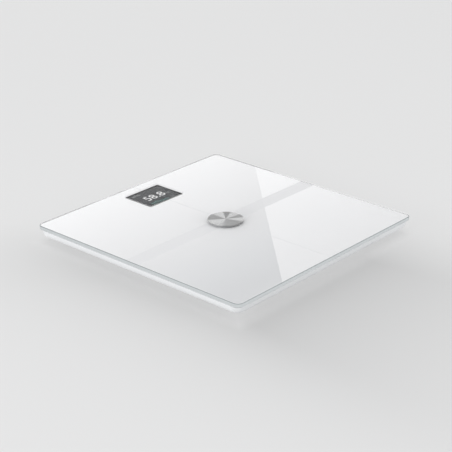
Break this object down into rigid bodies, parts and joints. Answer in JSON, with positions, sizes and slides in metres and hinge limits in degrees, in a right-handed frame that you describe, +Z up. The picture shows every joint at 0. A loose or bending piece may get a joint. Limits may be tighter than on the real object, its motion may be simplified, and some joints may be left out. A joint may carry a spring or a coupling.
{
  "type": "bathroom scale",
  "caption": "Low square glass body-composition scale: white-backed glass platform on a slim tray, round steel electrode disc, display window, sprung load-cell feet and a battery door.",
  "frame": {"origin": "on the floor under the middle of the platform, at the underside of the rubber pads", "axes": "+Z up through the platform; +Y towards the display edge, where the toes go; +X to the user's right"},
  "size_m": [0.325, 0.325, 0.0246],
  "materials": {
    "clear_glass": "clear tempered float glass, polished and bevelled",
    "white_ink": "white screen-printed ink behind the glass",
    "foam_tape": "white foam bonding tape",
    "brushed_steel": "turned and circular-brushed stainless steel",
    "grey_plastic": "grey moulded plastic",
    "conductive_rubber": "carbon-filled conductive rubber",
    "green_board": "green solder mask on glass-epoxy board",
    "plated_steel": "nickel-plated steel",
    "white_plastic": "white ABS with a fine moulded texture",
    "label_film": "silver-grey label film, left blank",
    "gauge_foil": "foil strain gauge on amber film",
    "silicone": "white silicone potting",
    "display_glass": "dark negative liquid-crystal panel with lit segments",
    "black_foam": "black closed-cell foam",
    "light_guide": "milky acrylic light guide",
    "amber_film": "amber polyimide flexible circuit",
    "ivory_plastic": "ivory nylon connector",
    "tinned_can": "tinned shield can",
    "black_epoxy": "black moulded epoxy",
    "capacitor_sleeve": "dark sleeve on aluminium can",
    "black_plastic": "black moulded plastic",
    "grey_cable": "grey PVC cable jacket",
    "red_cable": "red PVC insulation",
    "black_cable": "black PVC insulation",
    "electrode_film": "transparent conductive coating, slightly reflective",
    "load_cell_steel": "stamped and plated spring steel",
    "foot_rubber": "grey anti-slip rubber",
    "battery_wrap": "plain dark battery wrap with steel ends"
  },
  "bodies": {
    "scale_body": {"back_print": "white_ink", "battery_1": "battery_wrap", "battery_2": "battery_wrap", "battery_3": "battery_wrap", "battery_4": "battery_wrap", "battery_contacts": "plated_steel", "battery_lead_negative": "black_cable", "battery_lead_positive": "red_cable", "battery_springs": "plated_steel", "board_capacitors": "capacitor_sleeve", "board_chips": "black_epoxy", "board_connectors": "ivory_plastic", "board_screws": "plated_steel", "bonding_tape": "foam_tape", "bottom_tray": "white_plastic", "centre_disc": "brushed_steel", "disc_insulator": "grey_plastic", "disc_nut": "plated_steel", "display_gasket": "black_foam", "door_hinge_pins": "plated_steel", "electrode_contacts": "conductive_rubber", "electrode_heel_left": "electrode_film", "electrode_heel_right": "electrode_film", "electrode_lead": "grey_cable", "electrode_toe_left": "electrode_film", "electrode_toe_right": "electrode_film", "foot_retainers": "white_plastic", "gauge_potting": "silicone", "glass_platform": "clear_glass", "lcd_backlight": "light_guide", "lcd_flex": "amber_film", "lcd_frame": "white_plastic", "lcd_panel": "display_glass", "load_cell_cable_heel_left": "grey_cable", "load_cell_cable_heel_right": "grey_cable", "load_cell_cable_toe_left": "grey_cable", "load_cell_cable_toe_right": "grey_cable", "load_cell_heel_left": "load_cell_steel", "load_cell_heel_right": "load_cell_steel", "load_cell_screws": "plated_steel", "load_cell_toe_left": "load_cell_steel", "load_cell_toe_right": "load_cell_steel", "main_board": "green_board", "push_switch": "black_plastic", "radio_module": "tinned_can", "rating_label": "label_film", "strain_gauges": "gauge_foil", "terminal_board": "green_board"},
    "units_button": {"units_button": "grey_plastic", "switch_plunger": "black_plastic"},
    "battery_door": {"battery_door": "white_plastic"},
    "foot_toe_left": {"foot_cup_toe_left": "white_plastic", "foot_pad_toe_left": "foot_rubber"},
    "foot_toe_right": {"foot_cup_toe_right": "white_plastic", "foot_pad_toe_right": "foot_rubber"},
    "foot_heel_left": {"foot_cup_heel_left": "white_plastic", "foot_pad_heel_left": "foot_rubber"},
    "foot_heel_right": {"foot_cup_heel_right": "white_plastic", "foot_pad_heel_right": "foot_rubber"}
  },
  "joints": [
    {"name": "foot_press_toe_left", "type": "slide", "parent": "scale_body", "child": "foot_toe_left", "axis": [0, 0, 1], "range_m": [0, 0.0005], "stiffness_N_per_m": 1800, "springref_m": -0.0038, "deforming": ["load_cell_toe_left"]},
    {"name": "foot_press_toe_right", "type": "slide", "parent": "scale_body", "child": "foot_toe_right", "axis": [0, 0, 1], "range_m": [0, 0.0005], "stiffness_N_per_m": 1800, "springref_m": -0.0038, "deforming": ["load_cell_toe_right"]},
    {"name": "foot_press_heel_left", "type": "slide", "parent": "scale_body", "child": "foot_heel_left", "axis": [0, 0, 1], "range_m": [0, 0.0005], "stiffness_N_per_m": 1800, "springref_m": -0.0038, "deforming": ["load_cell_heel_left"]},
    {"name": "foot_press_heel_right", "type": "slide", "parent": "scale_body", "child": "foot_heel_right", "axis": [0, 0, 1], "range_m": [0, 0.0005], "stiffness_N_per_m": 1800, "springref_m": -0.0038, "deforming": ["load_cell_heel_right"]},
    {"name": "units_button_press", "type": "slide", "parent": "scale_body", "child": "units_button", "axis": [0, 0, 1], "range_m": [0, 0.0003], "stiffness_N_per_m": 4000},
    {"name": "battery_door_hinge", "type": "hinge", "parent": "scale_body", "child": "battery_door", "pos_m": [0, -0.0842, 0.0049], "axis": [-1, 0, 0], "range_deg": [0, 110]}
  ]
}
